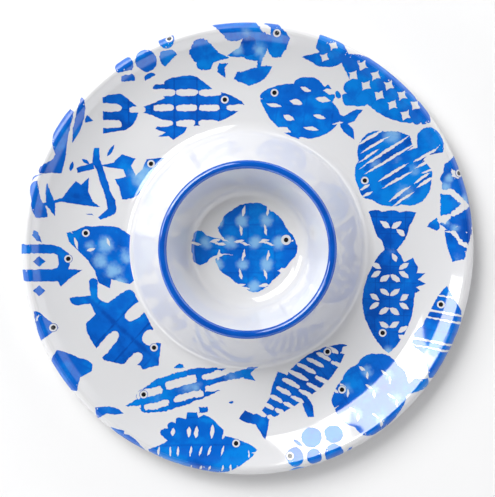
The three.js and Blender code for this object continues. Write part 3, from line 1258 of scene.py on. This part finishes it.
# %% Heads and tails at the lip
fish(
    "head_at_lip", (-157, -62), 0,
    [shape((-11, 13, 1), (-4, 10), (8, -0.5), (-8, -12)), snip(-8, 8, 6, 1.6, 70)], eye=(4, 0), tone=0.7,
)
fish(
    "tail_at_lip", (-139, -98), -25,
    [shape((-18, 12, 1), (0, 13, 1), (12, 13), (14, 8), (8, 0), (10, -10), (4, -14, 1), (-20, -14))],
    folds=(14, 9, 0.4), tone=0.6,
)
fish(
    "fin_at_lip", (-112, -131), -35, [shape((-10, 1), (-2, 7, 1), (11, 9), (5, 4), (0, 2), (-4, -7))],
    tone=0.65,
)
fish(
    "fin_at_near_lip", (-88, -153), -33,
    [shape((-24, -1), (-13, 4), (-12, 1), (-8, 3, 2), (14, -5), (-2, -9))], tone=0.65,
)
fish("fin_at_left_lip", (-165, 9.5), -30, [shape((-5, 3, 1), (0, 2), (5, -2), (1, -3), (-4, -1))], tone=0.7)
fish("fin_at_right_lip", (81, -158), 30, [fin(0, 0, 6, 2.6, 20)], tone=0.6)

# %% [markdown]
# ## The fish in the well
#
# A round mottled fish with a paddle of a tail lies in the bottom of the well. Its tail starts up the wall.

# %% Well fish
loops = [
    shape(
        (39, 3, 1), (30, 16, 2), (18, 30, 2), (4, 36, 2), (-12, 31, 2), (-22, 19, 2), (-23, 13), (-18, 7),
        (-12, 4), (-12, -5), (-19, -5), (-26, -8), (-24, -14, 1), (-14, -23, 1), (4, -35, 2), (20, -24, 1),
        (33, -10, 2),
    ),
    shape(
        (-10, 4), (-18, 6), (-28, 9, -1), (-36, 14, 3), (-43, 8, 2), (-44, -4, 2), (-38, -13, 1), (-31, -8),
        (-22, -4), (-10, -5),
    ),
    cut((23, -17), (26, -15), (34, -16), (34, -19), (27, -20)),
]
washes = []
for x, y, row, column in grid(-34, 32, 19.5, -30, 24, 17.5, 0.5):
    washes.append((x, y))
    for side in (-1, 1):
        if row % 2:
            loops.append(snip(x + side, y + side * 7.5, 9, 2.2, 90 - 10 * side))
        else:
            loops.append(snip(x + side * 7.5, y + side, 9, 2.2, 12 * side))
fish(
    "fish_in_well", (0.5, 0), 0, loops, eye=(30, 7), blots=[(x, y, 6.5, 0.95) for x, y in washes],
    folds=(21, 19, 0.45), tone=0.5, ragged=1.4,
)
print(len(fish_pieces), "printed pieces")

# %% [markdown]
# ## Materials
#
# Melamine is a hard resin with a high refractive index, so its gloss is strong. The mould leaves a very
# slight ripple in the face and use leaves hair-fine scuffs. The lip is rubbed duller than the rest by
# cloths and by other plates. All that runs over the white and the blue alike, so every material here shares
# one node group.

# %% Node helpers
def node_group(name, inputs, outputs):
    """An empty group with sockets (name, kind, value) and its two end nodes."""
    group = bpy.data.node_groups.new(name, "ShaderNodeTree")
    for label, kind, value in inputs:
        socket = group.interface.new_socket(label, in_out="INPUT", socket_type=kind)
        if value is not None:
            socket.default_value = value
    for label, kind in outputs:
        group.interface.new_socket(label, in_out="OUTPUT", socket_type=kind)
    return group, group.nodes.new("NodeGroupInput"), group.nodes.new("NodeGroupOutput")


def add(tree, kind, settings=None, values=None):
    """A node with its settings, and its socket values by name or number."""
    node = tree.nodes.new(kind)
    for key, value in (settings or {}).items():
        setattr(node, key, value)
    for key, value in (values or {}).items():
        node.inputs[key].default_value = value
    return node


def maths(tree, operation, first, second=None, third=None):
    """The result of one operation on up to three sockets or numbers."""
    node = add(tree, "ShaderNodeMath", {"operation": operation})
    for k, value in enumerate((first, second, third)):
        if isinstance(value, (int, float)):
            node.inputs[k].default_value = value
        elif value is not None:
            tree.links.new(value, node.inputs[k])
    return node.outputs[0]


def ranged(tree, value, low, high, to_low=0.0, to_high=1.0):
    """A value eased from one range to another and held at its ends."""
    node = add(tree, "ShaderNodeMapRange", {"interpolation_type": "SMOOTHSTEP"})
    tree.links.new(value, node.inputs["Value"])
    node.inputs["From Min"].default_value = low
    node.inputs["From Max"].default_value = high
    node.inputs["To Min"].default_value = to_low
    node.inputs["To Max"].default_value = to_high
    return node.outputs["Result"]


FACTOR, FIRST_COLOR, SECOND_COLOR, MIXED_COLOR = 0, 6, 7, 2  # the sockets of a Mix node for colours


def mixed(tree, share, first, second):
    """Two colours mixed by a share."""
    node = add(tree, "ShaderNodeMix", {"data_type": "RGBA"})
    for key, value in ((FACTOR, share), (FIRST_COLOR, first), (SECOND_COLOR, second)):
        if isinstance(value, tuple):
            node.inputs[key].default_value = (*value, 1.0)
        else:
            tree.links.new(value, node.inputs[key])
    return node.outputs[MIXED_COLOR]


def noise_of(tree, vector, scale, detail, roughness=0.5):
    """Soft noise from 0 to 1, with scale in spots to a unit of the vector."""
    node = add(tree, "ShaderNodeTexNoise", None, {"Scale": scale, "Detail": detail, "Roughness": roughness})
    tree.links.new(vector, node.inputs["Vector"])
    return node.outputs["Fac"]


# %% Glaze: ripple and scuffs
glaze, glaze_in, glaze_out = node_group(
    "moulded_glaze",
    [("Ripple", "NodeSocketFloat", 1.0), ("Gloss", "NodeSocketFloat", 0.055)],
    [("Height", "NodeSocketFloat"), ("Roughness", "NodeSocketFloat")],
)
QUICK_SHARE = 0.22  # of the finer ripple in the height
HAIR_SCALE = (1400.0, 90.0, 500.0)  # fine across and long along, so that the scuffs are hairs
HAIR_TURN = 0.6
HAIR_DULL = 0.05  # roughness that the hairs add
HANDLED_DULL = 0.012
RUBBED_DULL = 0.34
where = add(glaze, "ShaderNodeTexCoord").outputs["Object"]
slow = noise_of(glaze, where, 22.0, 1.0)
quick = noise_of(glaze, where, 85.0, 2.0)
swell = maths(glaze, "MULTIPLY_ADD", quick, QUICK_SHARE, slow)
glaze.links.new(maths(glaze, "MULTIPLY", swell, glaze_in.outputs["Ripple"]), glaze_out.inputs["Height"])
stretched = add(glaze, "ShaderNodeMapping", None, {"Scale": HAIR_SCALE, "Rotation": (0.0, 0.0, HAIR_TURN)})
glaze.links.new(where, stretched.inputs["Vector"])
hairs = ranged(glaze, noise_of(glaze, stretched.outputs[0], 1.0, 2.0), 0.6, 0.78)
handled = ranged(glaze, noise_of(glaze, where, 14.0, 3.0), 0.42, 0.72)
scuffed = maths(glaze, "MULTIPLY", hairs, handled)
worn = maths(glaze, "MULTIPLY_ADD", scuffed, HAIR_DULL, glaze_in.outputs["Gloss"])
worn = maths(glaze, "MULTIPLY_ADD", handled, HANDLED_DULL, worn)
flat_place = add(glaze, "ShaderNodeVectorMath", {"operation": "MULTIPLY"}, {1: (1.0, 1.0, 0.0)})
glaze.links.new(where, flat_place.inputs[0])
from_axis = add(glaze, "ShaderNodeVectorMath", {"operation": "LENGTH"})
glaze.links.new(flat_place.outputs[0], from_axis.inputs[0])
rubbed = ranged(glaze, from_axis.outputs["Value"], (lip_crest - 1.0) * MM, (lip_crest + 1.5) * MM)
glaze.links.new(maths(glaze, "MULTIPLY_ADD", rubbed, RUBBED_DULL, worn), glaze_out.inputs["Roughness"])
print(glaze.name, len(glaze.nodes), "nodes")

# %% A material with that glaze
RESIN_IOR = 1.62
RESIN_SHINE = 0.72
RIPPLE = 1.0
RIPPLE_HEIGHT = 0.00006  # metres
GLOSS = 0.055


def glazed_material(name):
    """A new material with a Principled shader whose roughness and normal come from the glaze."""
    material = bpy.data.materials.new(name)
    material.use_nodes = True
    tree = material.node_tree
    shader = tree.nodes["Principled BSDF"]
    shader.inputs["IOR"].default_value = RESIN_IOR
    shader.inputs["Specular IOR Level"].default_value = RESIN_SHINE
    surface = add(tree, "ShaderNodeGroup", {"node_tree": glaze}, {"Ripple": RIPPLE, "Gloss": GLOSS})
    tree.links.new(surface.outputs["Roughness"], shader.inputs["Roughness"])
    bump = add(tree, "ShaderNodeBump", None, {"Strength": 1.0, "Distance": RIPPLE_HEIGHT})
    tree.links.new(surface.outputs["Height"], bump.inputs["Height"])
    tree.links.new(bump.outputs["Normal"], shader.inputs["Normal"])
    print("material", material.name)
    return material, tree, shader, surface


# %% White melamine
MELAMINE_WHITE = (0.77, 0.77, 0.778)
MELAMINE_CLOUD = (0.75, 0.751, 0.762)
FOOT_GREY = (0.5, 0.49, 0.47)  # where the foot ring slides on tables
FOOT_GREYED = 0.25
FOOT_DULLED = 0.35
melamine, tree, shader, surface = glazed_material("white_melamine")
place_m = add(tree, "ShaderNodeTexCoord").outputs["Object"]
cloud = ranged(tree, noise_of(tree, place_m, 9.0, 3.0), 0.35, 0.7)
white = mixed(tree, cloud, MELAMINE_WHITE, MELAMINE_CLOUD)
height_m = add(tree, "ShaderNodeSeparateXYZ")
tree.links.new(place_m, height_m.inputs[0])
low_down = ranged(tree, height_m.outputs["Z"], 0.0004, 0.0012, 1.0, 0.0)
greyed = mixed(tree, maths(tree, "MULTIPLY", low_down, FOOT_GREYED), white, FOOT_GREY)
tree.links.new(greyed, shader.inputs["Base Color"])
dulled = maths(tree, "MULTIPLY_ADD", low_down, FOOT_DULLED, surface.outputs["Roughness"])
tree.links.new(dulled, shader.inputs["Roughness"])

# %% White ground of the print
GROUND_WHITE = (0.775, 0.776, 0.784)
GROUND_CLOUD = (0.755, 0.757, 0.77)
ground, tree, shader, _ = glazed_material("print_ground")
place_m = add(tree, "ShaderNodeTexCoord").outputs["Object"]
cloud = ranged(tree, noise_of(tree, place_m, 11.0, 3.0), 0.35, 0.7)
tree.links.new(mixed(tree, cloud, GROUND_WHITE, GROUND_CLOUD), shader.inputs["Base Color"])

# %% Cobalt band
BAND_BLUE = (0.001, 0.105, 0.55)
BAND_DEEP = (0.001, 0.08, 0.47)
band_blue, tree, shader, _ = glazed_material("cobalt_band_glaze")
place_m = add(tree, "ShaderNodeTexCoord").outputs["Object"]
brushed = ranged(tree, noise_of(tree, place_m, 60.0, 3.0), 0.4, 0.7)
tree.links.new(mixed(tree, brushed, BAND_BLUE, BAND_DEEP), shader.inputs["Base Color"])

# %% [markdown]
# ## Dye
#
# The fish were painted as if by folding cloth and dipping it: the colour drifts between cobalt and azure,
# dries darker along folds and edges, and is washed out to sky blue where it was bound. The mesh says where
# on the fish a point is, how bleached it is and whether it's an edge; the groups below make the colour from
# that.

# %% Where the dye is thick
dye_wash, wash_in, wash_out = node_group(
    "dye_wash",
    [
        ("Place", "NodeSocketVector", None),
        ("Tone", "NodeSocketFloat", 0.5),
        ("Bleach", "NodeSocketFloat", 0.0),
        ("Edge", "NodeSocketFloat", 0.0),
        ("Fold", "NodeSocketFloat", 0.0),
    ],
    [("Color", "NodeSocketColor")],
)
AZURE = (0.001, 0.225, 0.76)
COBALT = (0.001, 0.130, 0.62)
NAVY = (0.001, 0.075, 0.44)
SKY = (0.25, 0.52, 0.84)
DRIFT, POOL, GRAIN = 2.2, 1.2, 0.16  # how much each noise changes the thickness, from broad to fine
THINNER = -1.72  # takes the noises' own mean back out
EDGE_THICKER = 0.14
FOLD_THICKER = 0.55
TORN = 0.9  # how uneven the border of a bleached place is
place_on_fish = wash_in.outputs["Place"]
drift = noise_of(dye_wash, place_on_fish, 0.42, 2.0)
pool = noise_of(dye_wash, place_on_fish, 1.3, 4.0, 0.6)
grain = noise_of(dye_wash, place_on_fish, 7.0, 3.0, 0.6)
thickness = maths(dye_wash, "MULTIPLY_ADD", drift, DRIFT, THINNER)
thickness = maths(dye_wash, "MULTIPLY_ADD", pool, POOL, thickness)
thickness = maths(dye_wash, "ADD", thickness, wash_in.outputs["Tone"])
thickness = maths(dye_wash, "MULTIPLY_ADD", grain, GRAIN, thickness)
thickness = maths(dye_wash, "MULTIPLY_ADD", wash_in.outputs["Edge"], EDGE_THICKER, thickness)
thickness = maths(dye_wash, "MULTIPLY_ADD", wash_in.outputs["Fold"], FOLD_THICKER, thickness)
light_half = mixed(dye_wash, ranged(dye_wash, thickness, 0.15, 0.75), AZURE, COBALT)
full = mixed(dye_wash, ranged(dye_wash, thickness, 0.75, 1.35), light_half, NAVY)
torn = maths(dye_wash, "MULTIPLY_ADD", pool, TORN, -TORN / 2)
bleached = ranged(dye_wash, maths(dye_wash, "ADD", wash_in.outputs["Bleach"], torn), 0.28, 0.95)
bound = ranged(dye_wash, wash_in.outputs["Bleach"], 0.02, 0.3)  # nothing is bleached where nothing was bound
pale = maths(dye_wash, "MULTIPLY", bleached, bound)
dye_wash.links.new(mixed(dye_wash, pale, full, SKY), wash_out.inputs["Color"])
print(dye_wash.name, len(dye_wash.nodes), "nodes")

# %% Where it was folded
fold_lines, fold_in, fold_out = node_group(
    "fold_lines",
    [("Folds", "NodeSocketVector", None)],
    [("Line", "NodeSocketFloat")],
)
parts = add(fold_lines, "ShaderNodeSeparateXYZ")
fold_lines.links.new(fold_in.outputs["Folds"], parts.inputs[0])
lines = []
for axis in ("X", "Y"):
    halfway = maths(fold_lines, "PINGPONG", maths(fold_lines, "ADD", parts.outputs[axis], NO_FOLD), NO_FOLD)
    lines.append(ranged(fold_lines, halfway, 0.44, 0.5))
either = maths(fold_lines, "MAXIMUM", *lines)
fold_lines.links.new(maths(fold_lines, "MULTIPLY", either, parts.outputs["Z"]), fold_out.inputs["Line"])
print(fold_lines.name, len(fold_lines.nodes), "nodes")


# %% Dyed materials
def dyed_material(name, extra_tone):
    """Blue dye under the glaze, thicker by extra_tone than the fish's own tone."""
    material, tree, shader, _ = glazed_material(name)
    at_fish = add(tree, "ShaderNodeAttribute", {"attribute_name": "fish_at"})
    at_fold = add(tree, "ShaderNodeAttribute", {"attribute_name": "fold_at"})
    at_wash = add(tree, "ShaderNodeAttribute", {"attribute_name": "wash"})
    values = add(tree, "ShaderNodeSeparateXYZ")
    tree.links.new(at_wash.outputs["Vector"], values.inputs[0])
    folds = add(tree, "ShaderNodeGroup", {"node_tree": fold_lines})
    tree.links.new(at_fold.outputs["Vector"], folds.inputs["Folds"])
    dye = add(tree, "ShaderNodeGroup", {"node_tree": dye_wash})
    tree.links.new(at_fish.outputs["Vector"], dye.inputs["Place"])
    tree.links.new(maths(tree, "ADD", values.outputs["X"], extra_tone), dye.inputs["Tone"])
    tree.links.new(values.outputs["Y"], dye.inputs["Bleach"])
    tree.links.new(values.outputs["Z"], dye.inputs["Edge"])
    tree.links.new(folds.outputs["Line"], dye.inputs["Fold"])
    tree.links.new(dye.outputs["Color"], shader.inputs["Base Color"])
    return material


SECOND_DIP = 0.6
blue_dye = dyed_material("blue_dye", 0.0)
deep_dye = dyed_material("deep_dye", SECOND_DIP)

# %% Eyes
WHITE_OF_EYE = (0.73, 0.73, 0.75)
PUPIL = (0.012, 0.012, 0.014)
eye_white, _, shader, _ = glazed_material("eye_white")
shader.inputs["Base Color"].default_value = (*WHITE_OF_EYE, 1)
eye_black, _, shader, _ = glazed_material("eye_black")
shader.inputs["Base Color"].default_value = (*PUPIL, 1)

# %% [markdown]
# ## Finishing the pieces
#
# Each piece takes its material and belongs to the one rigid body. The shell, the two grounds and the band
# each stand for the engineering piece that they were turned from; the fish lie in the printed foils.

# %% Materials on, and the engineering pieces hidden
moulded_shell.data.materials.append(melamine)
platter_print_ground.data.materials.append(ground)
well_print_ground.data.materials.append(ground)
dip_rim_band.data.materials.append(band_blue)
for piece in fish_pieces:
    for material in (blue_dye, deep_dye, eye_white, eye_black):
        piece.data.materials.append(material)

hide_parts("server_body")
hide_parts("platter_foil")
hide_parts("well_foil")
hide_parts("rim_band")
for piece in (moulded_shell, platter_print_ground, well_print_ground, dip_rim_band, *fish_pieces):
    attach(piece, "root")
print("pieces on the server:", 4 + len(fish_pieces))

# %% [markdown]
# ## Table and lights
#
# The server lies on a pale table top, beside a tall window up on the far left. The window has three panes.
# The two high ones throw the soft shadow down to the right, and the near right side of the platter mirrors
# all three as bright bands. The lowest pane is there to be mirrored and gives no other light, because light
# from so low would stretch the shadow far across the table. A skylight does the opposite: it fills the
# shadow and the well evenly, and isn't mirrored. Three low glass doors on the other sides keep the flanks
# of the raised centre from going dark.
#
# What a glossy white dish shows is mostly the room, so the room matters as much as the lights. It is dark
# above, and a pale wall stands on the near right, which the platter's far left side mirrors as a faint
# sheen.

# %% Table
TABLE_SIZE = 24
TABLE_PALE = (0.95, 0.95, 0.95)
TABLE_ROUGHNESS = 0.9
TABLE_SHINE = 0.1
bpy.ops.mesh.primitive_plane_add(size=TABLE_SIZE, location=(0, 0, 0))
table = bpy.context.object
table.name = "table"
table_material = bpy.data.materials.new("pale_table")
table_material.use_nodes = True
table_shader = table_material.node_tree.nodes["Principled BSDF"]
table_shader.inputs["Base Color"].default_value = (*TABLE_PALE, 1)
table_shader.inputs["Roughness"].default_value = TABLE_ROUGHNESS
table_shader.inputs["Specular IOR Level"].default_value = TABLE_SHINE
table.data.materials.append(table_material)
table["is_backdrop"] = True
print("table", TABLE_SIZE, "m across")


# %% Windows
def window(name, azimuth, upper_edge, lower_edge, half_width, distance, radiance, color):
    """A rectangular light that faces the server.

    All angles are in degrees, as the server sees them: azimuth from +x towards +y, the upper and lower edges
    down from straight above, and half the width.
    """
    phi = math.radians(azimuth)
    theta = math.radians((upper_edge + lower_edge) / 2)
    half_high = distance * math.tan(math.radians((lower_edge - upper_edge) / 2))
    half_wide = distance * math.sin(theta) * math.tan(math.radians(half_width))
    light = bpy.data.lights.new(name, "AREA")
    light.shape = "RECTANGLE"
    light.size = 2 * half_wide
    light.size_y = 2 * half_high
    light.energy = radiance * math.pi * light.size * light.size_y
    light.color = color
    lamp = bpy.data.objects.new(name, light)
    direction = Vector((math.sin(theta) * math.cos(phi), math.sin(theta) * math.sin(phi), math.cos(theta)))
    lamp.location = direction * distance
    lamp.rotation_euler = direction.to_track_quat("Z", "Y").to_euler()
    lamp.visible_camera = False
    bpy.context.scene.collection.objects.link(lamp)
    print(name, round(light.size, 2), "by", round(light.size_y, 2), "m,", round(light.energy), "W")
    return lamp


DAYLIGHT = (1.0, 1.0, 0.995)
LOW_DAYLIGHT = (1.0, 0.998, 0.99)
DOOR_LIGHT = (1.0, 0.998, 1.0)
window("far_left_window", 137, 26, 64, 16, 4.0, 8.0, DAYLIGHT)
window("far_window", 110, 30, 60, 11, 4.0, 5.8, DAYLIGHT)
low_pane = window("low_left_window", 161, 50, 67, 12, 4.4, 7.6, LOW_DAYLIGHT)
low_pane.visible_diffuse = False
window("right_door", -20, 72, 86, 40, 4.5, 0.4, DOOR_LIGHT)
window("near_left_door", -138, 72, 86, 34, 4.5, 2.7, DOOR_LIGHT)
window("far_right_door", 48, 70, 86, 34, 4.5, 2.0, DOOR_LIGHT)

# %% Skylight
SKYLIGHT_SIZE = 3.0
SKYLIGHT_PLACE = (-1.1, -0.4, 4.0)
SKYLIGHT_RADIANCE = 1.0
skylight_data = bpy.data.lights.new("skylight", "AREA")
skylight_data.size = SKYLIGHT_SIZE
skylight_data.energy = SKYLIGHT_RADIANCE * math.pi * SKYLIGHT_SIZE**2
skylight = bpy.data.objects.new("skylight", skylight_data)
skylight.location = SKYLIGHT_PLACE
skylight.rotation_euler = skylight.location.to_track_quat("Z", "Y").to_euler()
skylight.visible_camera = False
skylight.visible_glossy = False
bpy.context.scene.collection.objects.link(skylight)
print("skylight", round(skylight_data.energy), "W")

# %% Room
CEILING_DARK = (0.04, 0.04, 0.045)
FAR_WALL = (0.14, 0.14, 0.15)
NEAR_WALL = (1.35, 1.35, 1.38)
LOW_WALL = (0.55, 0.55, 0.57)
LOW_WALL_TOP = (0.32, 0.38)  # heights of a direction, from 0 at the horizon to 1 straight up
CEILING_EDGE = (0.52, 0.58)
NEAR_SIDE = math.radians(-30)  # azimuth that the near wall faces from
NEAR_WALL_EDGE = (0.15, 0.32)  # how far a direction leans to that side where the wall starts
world = bpy.data.worlds.new("room")
bpy.context.scene.world = world
world.use_nodes = True
tree = world.node_tree
sky = tree.nodes["Background"]
direction = add(tree, "ShaderNodeTexCoord").outputs["Generated"]
level = add(tree, "ShaderNodeSeparateXYZ")
tree.links.new(direction, level.inputs[0])
ceiling = ranged(tree, level.outputs["Z"], *CEILING_EDGE)
low_wall = ranged(tree, level.outputs["Z"], *LOW_WALL_TOP, 1.0, 0.0)
across = maths(tree, "MULTIPLY", level.outputs["Y"], math.sin(NEAR_SIDE))
facing = maths(tree, "MULTIPLY_ADD", level.outputs["X"], math.cos(NEAR_SIDE), across)
walls = mixed(tree, ranged(tree, facing, *NEAR_WALL_EDGE), FAR_WALL, NEAR_WALL)
walls = mixed(tree, low_wall, walls, LOW_WALL)
tree.links.new(mixed(tree, ceiling, walls, CEILING_DARK), sky.inputs["Color"])
sky.inputs["Strength"].default_value = 1.0
print("room drawn with", len(tree.nodes), "nodes")

# %% [markdown]
# ## Camera
#
# It looks down from straight above, through a long lens, so that the round of the lip stays round. It leans
# a little from the far side, which shows a trace more of the lip there.

# %% Camera
CAMERA_HEIGHT = 1.5
CAMERA_LEAN = 0.025
LENS = 136.4
SENSOR = 36
camera_data = bpy.data.cameras.new("camera")
camera_data.lens = LENS
camera_data.sensor_width = SENSOR
camera = bpy.data.objects.new("camera", camera_data)
camera.location = (0.0, CAMERA_LEAN, CAMERA_HEIGHT)
camera.rotation_euler = (-math.atan2(CAMERA_LEAN, CAMERA_HEIGHT), 0.0, 0.0)
bpy.context.scene.collection.objects.link(camera)
bpy.context.scene.camera = camera
bpy.context.scene.view_settings.view_transform = "Standard"
print("camera", CAMERA_HEIGHT, "m up, lens", LENS, "mm")

# %% Sizes for comparison
low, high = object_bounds()
print("visual:", [round(v, 5) for v in (*low, *high)])
